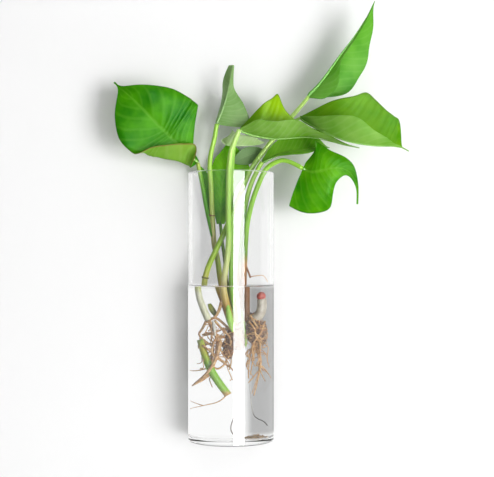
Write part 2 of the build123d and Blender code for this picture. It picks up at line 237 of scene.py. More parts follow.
chance = random.Random(7)
bpy.ops.mesh.primitive_ico_sphere_add(subdivisions=2, radius=1)
crumb = bpy.context.object
for vertex in crumb.data.vertices:
    vertex.co *= 0.75 + 0.5 * noise.noise(vertex.co * 1.4)
crumbs = []
for i in range(SILT_CRUMBS):
    turn = chance.uniform(0, math.tau)
    away = math.sqrt(chance.random())
    height = SILT_HEAP * (1 - away**1.6)
    copy = bpy.data.objects.new("crumb", crumb.data.copy())
    bpy.context.scene.collection.objects.link(copy)
    size = chance.uniform(*CRUMB_SIZES)
    copy.scale = (size * chance.uniform(0.8, 2.2), size, size * chance.uniform(0.4, 0.8))
    tilts = [chance.uniform(-CRUMB_TILT, CRUMB_TILT) for axis in "xy"]
    copy.rotation_euler = (*tilts, chance.uniform(0, math.tau))
    copy.location = SILT_MIDDLE + Vector(
        (
            math.cos(turn) * away * (SILT_LENGTH / 2 - SILT_EDGE),
            math.sin(turn) * away * (SILT_WIDTH / 2 - SILT_EDGE),
            SILT_LIFT + chance.random() * height,
        )
    )
    crumbs.append(copy)
bpy.data.objects.remove(crumb)
silt = joined(crumbs, "silt_crumbs")
silt.data.materials.append(
    grain_finish("silt_grain", colour(128, 88, 46), colour(232, 196, 140), 420, 0.8, 0.5)
)
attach(silt, "vase")
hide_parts("floor_silt")

# Stems and petioles. Smooth green leaf stalks, round and a little thicker towards the foot, paler where
# they stand in the water. Each grows along its own route, from the blade that it carries down to the roots.
STREAK_SCALE = (900, 900, 45)
STREAK_RELIEF = 0.0004
STEM_GLOSS = 0.34
STEM_SHINE = 0.2
STEM_SPECKS = 0.5
STEM_DEPTH = 1.14
STEM_FOOT = 1.05
STEM_TOP = 0.8


def strand(name, route, radii, sides=5):
    """A round tube along a smooth curve that follows its route, with its own radius at each point."""
    path = bpy.data.curves.new(name, "CURVE")
    path.dimensions = "3D"
    path.resolution_u = 8
    path.bevel_depth = 1.0
    path.bevel_resolution = sides
    path.use_fill_caps = True
    line = path.splines.new("NURBS")
    line.points.add(len(route) - 1)
    for point, place, radius in zip(line.points, route, radii):
        point.co = (place[0] * MM, place[1] * MM, place[2] * MM, 1)
        point.radius = radius * MM
    line.order_u = 3
    line.use_endpoint_u = True
    piece = bpy.data.objects.new(name, path)
    bpy.context.scene.collection.objects.link(piece)
    bpy.ops.object.select_all(action="DESELECT")
    piece.select_set(True)
    bpy.context.view_layer.objects.active = piece
    bpy.ops.object.convert(target="MESH")
    bpy.ops.object.mode_set(mode="EDIT")
    bpy.ops.mesh.select_all(action="SELECT")
    bpy.ops.mesh.remove_doubles(threshold=1e-6)
    bpy.ops.mesh.normals_make_consistent(inside=False)
    bpy.ops.object.mode_set(mode="OBJECT")
    bpy.ops.object.shade_smooth()
    piece.select_set(False)
    return piece


def node_ring(place, along, radius, height):
    """The swollen ring that an old leaf leaves round a stem."""
    bpy.ops.mesh.primitive_torus_add(
        major_segments=28, minor_segments=8, major_radius=radius * MM, minor_radius=height / 2 * MM
    )
    ring = bpy.context.object
    ring.location = Vector(place) * MM
    ring.rotation_euler = Vector(along).to_track_quat("Z", "Y").to_euler()
    for vertex in ring.data.vertices:
        vertex.co *= 1 + 0.05 * noise.noise(vertex.co * 900)
    bpy.ops.object.shade_smooth()
    ring.select_set(False)
    return ring


def figure(tree, operation, *values):
    """The result of one operation on numbers."""
    return put(tree, "ShaderNodeMath", dict(enumerate(values)), operation=operation).outputs[0]


def mapped(tree, value, start=0.0, end=1.0, low=0.0, high=1.0, **settings):
    """A number moved from one range to another."""
    inputs = {"Value": value, "From Min": start, "From Max": end, "To Min": low, "To Max": high}
    return put(tree, "ShaderNodeMapRange", inputs, **settings).outputs[0]


def stem_finish(name, tones, specks):
    """A stem's skin: its colour changes with height, in streaks along the stem, with fine brown specks."""
    finish, tree, shader = new_finish(name)
    place = put(tree, "ShaderNodeTexCoord").outputs["Object"]
    stretched = put(tree, "ShaderNodeMapping", {"Vector": place, "Scale": STREAK_SCALE}).outputs[0]
    streaks = put(tree, "ShaderNodeTexNoise", {"Vector": stretched, "Scale": 1.0, "Detail": 3}).outputs["Fac"]
    height = put(tree, "ShaderNodeSeparateXYZ", {0: place}).outputs["Z"]
    low, high = tones[0][0] * MM, tones[-1][0] * MM
    share = figure(tree, "ADD", mapped(tree, height, low, high), figure(tree, "MULTIPLY", streaks, 0.06))
    ramp = put(tree, "ShaderNodeValToRGB", {0: share})
    stops = ramp.color_ramp.elements
    for i, (level, tone) in enumerate(tones):
        position = (level * MM - low) / (high - low) * 0.96 + 0.03
        stop = stops[i] if i < 2 else stops.new(position)
        stop.position = position
        stop.color = tone
    shade = mapped(tree, streaks, low=0.72, high=1.22)
    skin = mixed(tree, 1.0, ramp.outputs["Color"], shade, blend_type="MULTIPLY")
    spots = put(tree, "ShaderNodeTexNoise", {"Vector": place, "Scale": 260, "Detail": 5, "Roughness": 0.7})
    spots = mapped(tree, spots.outputs["Fac"], 0.66, 0.74, high=specks)
    relief = put(tree, "ShaderNodeBump", {"Height": streaks, "Strength": 0.25, "Distance": STREAK_RELIEF})
    tree.links.new(mixed(tree, spots, skin, colour(120, 84, 48)), shader.inputs["Base Color"])
    tree.links.new(relief.outputs[0], shader.inputs["Normal"])
    shader.inputs["Roughness"].default_value = STEM_GLOSS
    shader.inputs["Specular IOR Level"].default_value = STEM_SHINE
    return finish


def stem_tones(tones):
    """A stem's colours by height, as the picture shows them under the key lamp."""
    return [(level, colour(*tone, STEM_DEPTH)) for level, tone in tones]


LIME = (176, 222, 96)
CREAM = (236, 238, 206)
AMBER = (206, 172, 96)
STEMS = {
    "stem_main": (
        2.7,
        [
            (52, -8, 296), (41, -5, 283), (31, -4.5, 270), (19, -5, 254), (12, -6.5, 238), (4, -8, 218),
            (-4.5, -8, 197), (-12, -7, 181), (-18, -6, 169), (-22.5, -5, 158), (-25, -4, 146),
            (-24, -4, 135), (-20, -5, 122), (-16.5, -6, 113),
        ],
        [(113, CREAM), (138, CREAM), (143, (206, 214, 120)), (154, (204, 208, 92)), (168, (168, 204, 64)),
         (220, (126, 182, 52)), (296, (186, 220, 120))],
    ),
    "petiole_tall": (
        2.1,
        [(72, -16, 319), (62, -11.5, 307), (52, -8, 296)],
        [(290, (196, 226, 132)), (320, (176, 216, 104))],
    ),
    "petiole_broad": (
        1.6,
        [(64, -16, 299), (58, -11.5, 297), (47.5, -6.8, 290.7)],
        [(286, (176, 210, 120)), (300, (150, 196, 84))],
    ),
    "petiole_standing": (
        2.6,
        [
            (-13, -12, 294), (-14.5, -12, 282), (-18.5, -10, 268), (-20, -7, 255), (-18.5, -4, 240),
            (-18, -1, 220), (-17, 1.5, 200), (-16, 2, 182), (-12.5, 2, 170), (-10, 1.5, 147),
            (-2.5, -2.5, 121), (-0.5, -4, 112),
        ],
        [(112, (168, 116, 64)), (132, (196, 150, 84)), (144, (196, 176, 88)), (165, (150, 176, 72)),
         (196, (196, 190, 120)), (215, (178, 200, 96)), (255, LIME), (294, (150, 200, 76))],
    ),
    "petiole_left": (
        2.3,
        [(-31, -3, 259), (-28.5, -1, 247), (-26, 0.5, 235), (-22.5, 1.5, 214), (-16.5, 1.8, 190)],
        [(188, (66, 136, 4)), (228, (78, 156, 6)), (248, (116, 180, 40)), (260, (176, 196, 92))],
    ),
    "petiole_folded": (
        2.8,
        [
            (8, -20, 288), (4, -20.5, 278), (0.5, -20, 269), (-1, -19, 259), (-2, -16, 240),
            (-2.2, -14.5, 205), (-1.6, -14, 190), (-2.9, -12.5, 172), (-4.7, -11, 160), (-7, -9.5, 147),
            (-2, -10, 121), (0, -10, 112),
        ],
        [(112, (176, 128, 70)), (128, (206, 172, 84)), (143, (222, 206, 132)), (152, (228, 226, 164)),
         (172, (206, 226, 140)), (200, (170, 220, 96)), (262, (178, 226, 110)), (288, (182, 220, 122))],
    ),
    "petiole_middle": (
        2.2,
        [
            (3, -8, 273.6), (1.5, -5, 260), (1, -3, 245), (1, -2.5, 220), (1, -2.5, 195), (0.5, -3, 170),
            (0, -3.5, 146), (3.5, -5, 118), (4, -6, 110),
        ],
        [(110, (150, 204, 76)), (144, (150, 206, 84)), (180, (150, 204, 76)), (274, (150, 200, 84))],
    ),
    "petiole_inner": (
        1.8,
        [(-10, 3.5, 202), (-9, 3.5, 190), (-6, 3.5, 170), (-4, 3, 147), (1.5, 1, 121), (2, 0, 110)],
        [(110, AMBER), (144, (130, 150, 60)), (165, (96, 116, 50)), (205, (84, 132, 44))],
    ),
    "petiole_arching": (
        2.5,
        [
            (29, -12, 259), (24, -11, 251), (18, -10, 238), (14, -10, 222), (11, -9, 203), (9.5, -7, 180),
            (8, -5, 160), (7, -4, 146), (9.5, -3.5, 121), (9.5, -4, 112),
        ],
        [(112, (160, 118, 64)), (140, (196, 150, 96)), (160, (206, 176, 116)), (172, (120, 176, 52)),
         (215, (136, 196, 60)), (240, (176, 222, 100)), (260, (160, 206, 84))],
    ),
    "petiole_drooping": (
        2.5,
        [
            (66, -24, 252), (52, -20, 261), (40, -16.5, 258.5), (30.5, -13.5, 251), (25, -14, 238),
            (20, -14, 224), (17, -13.5, 212), (14.5, -13, 200), (13, -12, 178), (12, -10, 146),
            (12, -10.5, 121), (12, -10, 112),
        ],
        [(112, (120, 84, 48)), (146, (150, 104, 64)), (166, (186, 140, 92)), (176, (110, 150, 52)),
         (205, (146, 206, 66)), (262, (150, 206, 66))],
    ),
}
RING_AT = {
    "stem_main": [((-23.75, -4.5, 152), (2.5, -1, 12), 2.75, 1.5)],
    "petiole_standing": [((-17.8, 0.3, 210), (0.5, -1, 10), 2.55, 1.2)],
}
RING_BARK = {
    "stem_main": grain_finish("ring_bark", colour(96, 104, 22), colour(150, 150, 50), 500, 0.6, 0.4),
    "petiole_standing": grain_finish("ring_brown", colour(110, 86, 30), colour(168, 140, 72), 500, 0.6, 0.4),
}

for name, (radius, route, tones) in STEMS.items():
    steps = len(route) - 1
    radii = [radius * (STEM_TOP + (STEM_FOOT - STEM_TOP) * i / steps) for i in range(steps + 1)]
    stem = strand(name + "_stalk", route, radii)
    stem.data.materials.append(stem_finish(name + "_skin", stem_tones(tones), STEM_SPECKS))
    rings = [node_ring(*ring) for ring in RING_AT.get(name, [])]
    for ring in rings:
        ring.data.materials.append(RING_BARK[name])
    stem = joined([stem, *rings], name + "_stalk")
    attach(stem, "plant")
    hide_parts(name)

# Leaf blades. Thin waxy leaves folded along the midrib, some rolled at one side, with a drawn-out tip.
# The upper face is glossy green, the underside paler and duller, and the petiole runs on under the blade.
BLADE_ROWS = 64
BLADE_COLUMNS = 48
BLADE_THICKNESS = 0.6
VEIN_RELIEF = 0.08
VEIN_COUNT = 15
ROLL_SPAN = 0.16
CURL_STEPS = 24
FRAME_SPAN = 0.1
LEAST_WIDTH = 0.4
LEAF_SHINE = 0.04
LEAF_DEPTH = 0.78
VEIN_SLANT = -4.8
VEIN_SHARE = 0.17
RIB_SHARE = 0.4
RIB_SHARES = (0, 0.04, 0.1, 0.2, 0.32, 0.46, 0.6, 0.74, 0.86)
RIB_LEAST = 0.18


def along(stations, share):
    """The values of a blade at a share of its length, on a smooth curve through its stations."""
    last = len(stations) - 1
    i = min(int(share * last), last - 1)
    f = share * last - i
    near = [stations[min(max(k, 0), last)] for k in (i - 1, i, i + 1, i + 2)]
    return [
        b + 0.5 * f * (c - a + f * (2 * a - 5 * b + 4 * c - d + f * (3 * (b - c) + d - a)))
        for a, b, c, d in zip(*near)
    ]


def blade_frame(facing, stations, share):
    """The midrib's point at a share of its length, the ways across and up, and the blade's values there."""
    here = along(stations, share)
    ahead, behind = along(stations, min(share + FRAME_SPAN, 1)), along(stations, max(share - FRAME_SPAN, 0))
    heading = (Vector(ahead[:3]) - Vector(behind[:3])).normalized()
    across = heading.cross(Vector(facing)).normalized()
    return Vector(here[:3]), across, across.cross(heading), here[3:]


def turned(reach, flat):
    """The share of a blade's curl at a reach from the midrib: even, or in one roll past a flat part."""
    return reach if flat is None else min(1, max(0, (reach - flat) / ROLL_SPAN))


def blade_point(facing, stations, side, share, wave, bites, rolls):
    """A point of the upper face: side runs from -1 at the left edge to 1 at the right edge."""
    middle, across, up, values = blade_frame(facing, stations, share)
    left, right, left_fold, left_curl, right_fold, right_curl = values
    hand = 1 if side >= 0 else -1
    width, fold, curl = (right, right_fold, right_curl) if hand > 0 else (left, left_fold, left_curl)
    flat = along(rolls, share)[0] if rolls and hand < 0 else None
    for bite_hand, bite_share, bite_span, bite_depth in bites:
        if bite_hand == hand:
            width -= bite_depth * max(0, 1 - ((share - bite_share) / bite_span) ** 2)
    width = max(width, LEAST_WIDTH)
    reach = abs(side)
    start, turn = math.radians(fold), math.radians(curl - fold)
    steps = max(1, round(reach * CURL_STEPS))
    out = rise = 0.0
    for step in range(steps):
        angle = start + turn * turned((step + 0.5) / steps * reach, flat)
        out += width * reach / steps * math.cos(angle)
        rise += width * reach / steps * math.sin(angle)
    angle = start + turn * turned(reach, flat)
    vein = math.sin(math.tau * (VEIN_COUNT * share - 2.4 * reach)) * math.sqrt(reach) * (1 - reach**4)
    edge = noise.noise(Vector((share * 5, hand * 3, wave * 10))) * reach**2
    lift = VEIN_RELIEF * vein * min(1, width / 12) + wave * edge * min(1, width / 15)
    return middle + across * hand * (out - math.sin(angle) * lift) + up * (rise + math.cos(angle) * lift)


def lay_blade(name, facing, stations, wave, bites, rolls, faces):
    """A blade of leaf: a grid laid over its sections, given its two faces and its thickness."""
    bpy.ops.object.select_all(action="DESELECT")
    bpy.ops.mesh.primitive_grid_add(x_subdivisions=BLADE_COLUMNS, y_subdivisions=BLADE_ROWS, size=2)
    blade = bpy.context.object
    for vertex in blade.data.vertices:
        side, share = vertex.co.x, (vertex.co.y + 1) / 2
        vertex.co = blade_point(facing, stations, side, share, wave, bites, rolls) * MM
    for face in faces:
        blade.data.materials.append(face)
    solid = blade.modifiers.new("thickness", "SOLIDIFY")
    solid.thickness = BLADE_THICKNESS * MM
    solid.offset = -1
    solid.material_offset = 1
    solid.material_offset_rim = 1
    smooth = blade.modifiers.new("smooth", "SUBSURF")
    smooth.levels = smooth.render_levels = 1
    bpy.ops.object.modifier_apply(modifier=solid.name)
    bpy.ops.object.modifier_apply(modifier=smooth.name)
    bpy.ops.object.shade_smooth()
    blade.select_set(False)
    blade.name = name
    return blade


def midrib(name, facing, stations, radius):
    """The stalk that runs on under the blade and dies away towards the tip."""
    radii = [max(RIB_LEAST, radius * (1 - share / 0.9) ** 0.8) for share in RIB_SHARES]
    route = []
    for share, thick in zip(RIB_SHARES, radii):
        middle, _, up, _ = blade_frame(facing, stations, share)
        route.append(middle - up * (BLADE_THICKNESS * 0.6 + thick * 0.72))
    route[0] = Vector(stations[0][:3])
    return strand(name, route, radii, 3)


def leaf_tone(tone):
    """A leaf's colour as the picture shows it under the key lamp."""
    return colour(*tone, LEAF_DEPTH)


def leaf_finish(name, deep, fresh, vein, gloss, stain_and_painted_glow=None, rim=None):
    """A leaf's face: two greens in soft clouds, lighter veins that run out from the midrib, a waxy gloss, and
    where given a round spot of another colour: a brown stain on leaf_left's underside, and on leaf_folded a
    yellow patch of painted light, the glow of light shining through its raised half.
    """
    finish, tree, shader = new_finish(name)
    spots = put(tree, "ShaderNodeTexCoord")
    place = spots.outputs["Object"]
    clouds = put(tree, "ShaderNodeTexNoise", {"Vector": place, "Scale": 42, "Detail": 3}).outputs["Fac"]
    flat = put(tree, "ShaderNodeSeparateXYZ", {0: spots.outputs["UV"]})
    aside = figure(tree, "ABSOLUTE", figure(tree, "SUBTRACT", flat.outputs["X"], 0.5))
    slant = figure(tree, "MULTIPLY", aside, VEIN_SLANT)
    order = figure(tree, "MULTIPLY_ADD", flat.outputs["Y"], VEIN_COUNT, slant)
    bend = figure(tree, "MULTIPLY_ADD", clouds, 0.7, order)
    beat = figure(tree, "SINE", figure(tree, "MULTIPLY", bend, math.tau))
    lines = mapped(tree, beat, 0.45, 1.0, high=VEIN_SHARE)
    rib = mapped(tree, aside, 0.008, 0.03, low=RIB_SHARE, high=0.0)
    greens = two_tones(tree, clouds, leaf_tone(deep), leaf_tone(fresh), 0.34, 0.66)
    face = mixed(tree, figure(tree, "MAXIMUM", lines, rib), greens, leaf_tone(vein))
    if stain_and_painted_glow:
        middle, size, tone = stain_and_painted_glow
        away = put(tree, "ShaderNodeVectorMath", {0: place, 1: middle}, operation="DISTANCE").outputs["Value"]
        face = mixed(tree, mapped(tree, away, size * 0.35, size, low=1.0, high=0.0), face, leaf_tone(tone))
    if rim:
        face = mixed(tree, mapped(tree, aside, 0.47, 0.5, high=0.8), face, leaf_tone(rim))
    fine = put(tree, "ShaderNodeTexNoise", {"Vector": place, "Scale": 900, "Detail": 3}).outputs["Fac"]
    grain = figure(tree, "MULTIPLY_ADD", fine, 0.35, beat)
    relief = put(tree, "ShaderNodeBump", {"Height": grain, "Strength": 0.12, "Distance": RELIEF_DEPTH})
    polish = mapped(tree, clouds, low=gloss - 0.16, high=gloss + 0.02)
    tree.links.new(face, shader.inputs["Base Color"])
    tree.links.new(polish, shader.inputs["Roughness"])
    tree.links.new(relief.outputs[0], shader.inputs["Normal"])
    shader.inputs["Specular IOR Level"].default_value = LEAF_SHINE
    return finish


FRONT = (0, -1, 0)
BACK = (0, 1, 0)
TOP = (0, 0, 1)
BLADES = {
    "leaf_left": (
        FRONT,
        [
            (-31, -3, 259, 2, 2, 8, 8, 8, 8), (-39, -8, 266.5, 31, 7, 5, 165, 5, -5),
            (-47.5, -12, 274.5, 41, 21, 5, 168, 5, -12), (-55, -14, 281.5, 43, 36.5, 5, 165, 5, -18),
            (-57.5, -14.5, 284, 42, 39.5, 5, 160, 5, -18), (-61, -15, 287.5, 38, 39.5, 5, 135, 5, -20),
            (-66, -16, 292, 36, 39, 5, 40, 5, -22), (-78, -18, 304.5, 35, 33, 5, -15, 5, -25),
            (-91, -18, 317.5, 23, 17.5, 5, -20, 5, -15), (-102, -14, 327, 3, 2.5, 8, 8, 8, 8),
            (-108, -11, 333, 0.8, 0.8, 8, 8, 8, 8),
        ],
        0.8, [(-1, 0.27, 0.03, 1.5), (-1, 0.335, 0.02, 1.2)],
        [(0.5,), (0.27,), (0.37,), (0.52,), (0.58,), (0.66,), (0.8,), (0.8,), (0.8,), (0.8,), (0.8,)], 2.0,
        "leaf_green",
    ),
    "leaf_standing": (
        BACK,
        [
            (-13, -12, 294, 2, 2, 10, 10, 60, 60), (-11, -13, 299, 20, 9, 0, 10, 70, 80),
            (-8, -13.5, 306, 27, 14, 0, 10, 70, 85), (-4.5, -13, 316, 18, 17, 5, 15, 65, 85),
            (-2, -12, 327, 6, 15, 10, 20, 60, 80), (-0.5, -10.5, 336, 3, 12, 10, 30, 50, 65),
            (2, -9, 349, 1, 5, 10, 40, 40, 50),
        ],
        0.5, [], None, 1.2, "leaf_underside",
    ),
    "leaf_folded": (
        TOP,
        [
            (8, -20, 288, 2, 2, 60, 60, 40, 40), (20, -19, 284, 27, 18, 80, 92, 25, 65),
            (31, -18.5, 281.5, 36, 20, 80, 95, 25, 65), (43, -18.5, 280, 41, 21, 80, 98, 25, 65),
            (54, -18.5, 281, 24, 21, 78, 95, 25, 65), (65, -19, 282, 12, 19, 70, 90, 25, 60),
            (77, -20.5, 281.5, 8, 12, 60, 70, 15, 40), (90, -22, 278, 7, 9, 40, 50, 15, 30),
            (103, -23, 274, 5, 6, 30, 30, 10, 10), (118, -24, 271, 0.8, 0.8, 8, 8, 8, 8),
        ],
        0.6, [], None, 1.2, "leaf_underside",
    ),
    "leaf_middle": (
        TOP,
        [
            (-8, -7, 280, 1.5, 1.5, 60, 60, 55, 55), (-3, -8, 275.5, 8, 15, 60, 70, 55, 85),
            (7, -8, 275, 8, 11, 60, 70, 50, 75), (17, -8, 275, 8, 10, 60, 70, 45, 70),
            (25, -8.5, 275.5, 6, 8, 60, 60, 45, 60), (31, -9, 277.5, 0.8, 0.8, 20, 20, 20, 20),
        ],
        0.4, [], None, 0.8, "leaf_underside",
    ),
    "leaf_tall": (
        (0.78, 0, -0.62),
        [
            (72, -16, 319, 3, 3, 40, 40, 40, 40), (79, -18, 325, 13, 12, 55, 70, 55, 70),
            (88, -20, 336, 14, 25, 55, 80, 60, 90), (98, -21, 351, 4, 26, 50, 70, 60, 90),
            (107, -22, 363, 2.5, 24, 40, 50, 60, 85), (115, -23, 374, 2, 17, 40, 40, 55, 75),
            (124, -24, 389, 1.5, 10, 40, 40, 50, 60), (132, -25, 405, 0.8, 0.8, 8, 8, 8, 8),
        ],
        0.7, [], None, 1.7, "leaf_green",
    ),
    "leaf_broad": (
        TOP,
        [
            (64, -16, 299, 3, 3, 70, 70, 50, 50), (79, -27, 289.5, 27, 12, 75, 85, 45, 80),
            (95, -34, 280.5, 41, 22, 75, 85, 45, 85), (111, -37.5, 275, 48, 24, 75, 85, 45, 85),
            (127, -38.5, 272.3, 43, 15, 75, 85, 45, 80), (140, -38.3, 271.8, 34, 8, 75, 85, 45, 70),
            (147, -37.7, 271.6, 28, 3, 75, 85, 45, 50), (150.5, -37.2, 271, 23, 2, 75, 85, 45, 50),
            (155, -36, 270, 1.5, 1, 60, 60, 45, 45), (161.5, -35, 267, 0.8, 0.8, 8, 8, 8, 8),
        ],
        1.0, [], None, 1.1, "leaf_green",
    ),
    "leaf_arching": (
        TOP,
        [
            (29, -12, 259, 2.5, 2.5, 50, 50, -15, -15), (40, -13, 265, 10, 4, 60, 75, -15, -30),
            (53, -14, 268.5, 17, 10, 60, 75, -15, -30), (66, -15, 270, 19, 12, 60, 75, -15, -30),
            (79, -16, 272, 14, 8, 55, 65, -15, -30), (91, -17, 272, 0.8, 0.8, 8, 8, 8, 8),
        ],
        0.5, [], None, 1.2, "leaf_dark",
    ),
    "leaf_drooping": (
        FRONT,
        [
            (66, -24, 252, 7, 37, 5, -10, 5, -20), (74, -28, 249, 25, 40, 5, -25, 5, -35),
            (83, -30, 250, 29, 37, 5, -35, 5, -35), (93, -31, 252, 17, 19, 5, -35, 5, -30),
            (103, -31, 251, 11, 8, 5, -30, 5, -20), (110, -31, 246, 5, 3, 8, -10, 8, -10),
            (115, -32, 234, 1.2, 1.2, 8, 8, 8, 8), (115, -33, 219, 0.8, 0.8, 8, 8, 8, 8),
        ],
        1.2, [], None, 1.8, "leaf_green",
    ),
    "leaf_inner": (
        FRONT,
        [
            (-10, 3.5, 202, 3.5, 4, 8, 8, 8, 8), (-9.5, 3.5, 220, 8, 10, 5, -5, 5, -5),
            (-8, 3.5, 239, 13, 14, 5, -5, 5, -5), (-4, 3.5, 257, 13, 22, 5, -5, 5, -5),
            (-1, 3.5, 266, 10, 17, 5, -5, 5, -5), (1, 3.5, 275, 6, 4, 8, 8, 8, 8),
        ],
        0.3, [], None, 0.9, "leaf_dark",
    ),
    "leaf_back": (
        FRONT,
        [
            (30.8, -1.7, 270.3, 1.5, 1.5, 8, 8, 8, 8), (24, 0.5, 268.5, 6, 6, 5, 10, 5, 10),
            (15, 1, 265.5, 8, 8, 5, 10, 5, 10), (7, 1, 262, 5, 5, 5, 10, 5, 10),
            (1.5, 1, 260, 0.8, 0.8, 8, 8, 8, 8),
        ],
        0.3, [], None, 0.8, "leaf_dark",
    ),
}
BROWN_EDGE = (150, 116, 62)
LEAF_FACES = {
    "leaf_left": (
        ((28, 122, 2), (82, 172, 4), (124, 200, 60), 0.34, None, (60, 120, 20)),
        ((112, 172, 44), (140, 190, 66), (172, 206, 106), 0.5,
         ((-0.0346, -0.02, 0.2666), 0.0035, (120, 84, 40)),
         BROWN_EDGE),
    ),
    "leaf_standing": (
        ((50, 130, 20), (96, 168, 40), (140, 190, 80), 0.4),
        ((124, 172, 90), (158, 200, 126), (190, 220, 156), 0.5, None, (96, 140, 70)),
    ),
    # leaf_folded's upper face has a yellow round patch on its raised half: painted light, the glow of light
    # shining through the leaf.
    "leaf_folded": (
        ((88, 150, 14), (124, 180, 16), (150, 200, 50), 0.42, ((0.046, -0.010, 0.314), 0.024, (176, 232, 4)),
         (110, 120, 40)),
        ((112, 176, 40), (146, 196, 90), (176, 210, 136), 0.5),
    ),
    "leaf_middle": (
        ((120, 176, 70), (150, 196, 96), (186, 214, 140), 0.45),
        ((176, 222, 128), (216, 240, 182), (226, 244, 200), 0.48),
    ),
    "leaf_tall": (
        ((74, 160, 30), (112, 190, 56), (140, 204, 92), 0.38),
        ((92, 172, 40), (124, 198, 72), (150, 212, 108), 0.46, None, (80, 140, 40)),
    ),
    "leaf_broad": (
        ((86, 160, 8), (122, 186, 22), (140, 196, 60), 0.42, None, (84, 110, 30)),
        ((112, 180, 50), (146, 204, 84), (170, 216, 116), 0.5),
    ),
    # leaf_arching is given lighter greens as painted light, to lift it out of the shade it stands in.
    "leaf_arching": (
        ((96, 172, 30), (146, 214, 60), (176, 226, 104), 0.36),
        ((96, 156, 50), (124, 182, 76), (150, 200, 104), 0.5),
    ),
    "leaf_drooping": (
        ((44, 142, 0), (102, 188, 4), (136, 208, 60), 0.33, None, (60, 110, 24)),
        ((84, 156, 40), (124, 186, 76), (150, 202, 104), 0.46),
    ),
    # leaf_inner's upper face is given lighter greens as painted light, to lift it out of the shade of the
    # leaves in front.
    "leaf_inner": (
        ((80, 170, 4), (132, 214, 24), (156, 222, 70), 0.4),
        ((60, 120, 24), (84, 148, 46), (110, 170, 70), 0.5),
    ),
    "leaf_back": (
        ((112, 152, 92), (142, 176, 120), (160, 190, 136), 0.5),
        ((112, 152, 92), (142, 176, 120), (160, 190, 136), 0.5),
    ),
}
# The left petiole widens into a thin green sheath, which is laid as a narrow blade and joined to its stalk.
SHEATH = [
    (-16.6, 2.2, 192, 0.6, 0.6, 8, 8, 8, 8), (-20, 2.3, 205, 0.9, 2.4, 5, 5, 5, 5),
    (-22.8, 2.3, 217, 1.2, 4.8, 5, 5, 5, 5), (-25.4, 1.7, 231, 1.5, 7, 5, 5, 5, 5),
    (-28, 0.6, 245, 1.6, 8, 5, 5, 5, 5), (-30, -1.4, 255, 0.8, 2.5, 8, 8, 8, 8),
]
sheath_green = leaf_finish("petiole_left_sheath", (84, 190, 0), (124, 222, 8), (140, 224, 40), 0.4)
sheath = lay_blade("sheath", FRONT, SHEATH, 0.2, [], None, [sheath_green, sheath_green])
joined([bpy.data.objects["petiole_left_stalk"], sheath], "petiole_left_stalk")
for name, (facing, stations, wave, bites, rolls, rib, slot) in BLADES.items():
    upper, under = LEAF_FACES[name]
    faces = [leaf_finish(name + "_upper", *upper), leaf_finish(name + "_under", *under)]
    blade = lay_blade(name + "_blade", facing, stations, wave, bites, rolls, faces)
    stalk = midrib(name + "_rib", facing, stations, rib)
    rib_tones = (leaf_tone(tone) for tone in under[:2])
    stalk.data.materials.append(grain_finish(name + "_rib_skin", *rib_tones, 200, 0.42, 0.15))
    blade = joined([blade, stalk], name + "_blade")
    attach(blade, "plant")
    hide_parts(name)

# Root clump. Old bark and soil held together by a tangle of roots at the foot of the cuttings. Four rough
# dark cores are wrapped in many thin fibres, and loose roots and young shoots come out of them.
CLUMP_CORES = [
    (Vector((16.5, -8, 105)), Vector((8.5, 7.5, 15))),
    (Vector((4, -6, 99)), Vector((9, 6, 14))),
    (Vector((-2, -6, 87)), Vector((5, 5, 9))),
    (Vector((22.5, -8, 101)), Vector((6.5, 6.5, 12))),
]
CLUMP_FIBRES = 170
FIBRE_CORES = (0, 3, 1, 2, 3)
FIBRE_POINTS = 7
LOOSE_SWELL = 1.25
TANGLE_STEPS = 5
LEFT_TANGLE = (28, (-21, -2, 78, 112))
RIGHT_TANGLE = (24, (13, 25, 78, 110))
soil = grain_finish("clump_soil", colour(60, 36, 18), colour(156, 108, 60), 260, 0.75, 0.9)
tan_root = grain_finish("root_tan_skin", colour(186, 124, 58), colour(236, 194, 128), 300, 0.55, 0.3)
strands = []
for middle, half in CLUMP_CORES:
    bpy.ops.mesh.primitive_uv_sphere_add(segments=56, ring_count=36, radius=1)
    core = bpy.context.object
    for vertex in core.data.vertices:
        grown = vertex.co * half
        rough = 0.84 + 0.4 * noise.noise((middle + grown) * 0.19) + 0.2 * noise.noise((middle + grown) * 0.55)
        vertex.co = (middle + grown * rough) * MM
    bpy.ops.object.shade_smooth()
    core.data.materials.append(soil)
    strands.append(core)
chance = random.Random(21)
for i in range(CLUMP_FIBRES):
    middle, half = CLUMP_CORES[FIBRE_CORES[i % len(FIBRE_CORES)]]
    turn = chance.uniform(0, math.tau)
    level = chance.uniform(-0.95, 0.95)
    twist = chance.uniform(-1.6, 1.6)
    drop = chance.uniform(-0.8, 0.4)
    route = []
    for k in range(FIBRE_POINTS):
        share = k / (FIBRE_POINTS - 1)
        height = max(-1.25, min(1.0, level + drop * share))
        angle = turn + twist * share + chance.uniform(-0.2, 0.2)
        round_off = math.sqrt(max(0.14, 1 - min(1, height * height)))
        away = round_off * chance.uniform(0.84, 1.16)
        reach = Vector((math.cos(angle) * away * half.x, math.sin(angle) * away * half.y, height * half.z))
        route.append(middle + reach)
    thick = chance.uniform(0.2, 0.55)
    strands.append(strand("fibre", route, [thick * (1 - 0.1 * k) for k in range(FIBRE_POINTS)], 1))
    strands[-1].data.materials.append(tan_root)
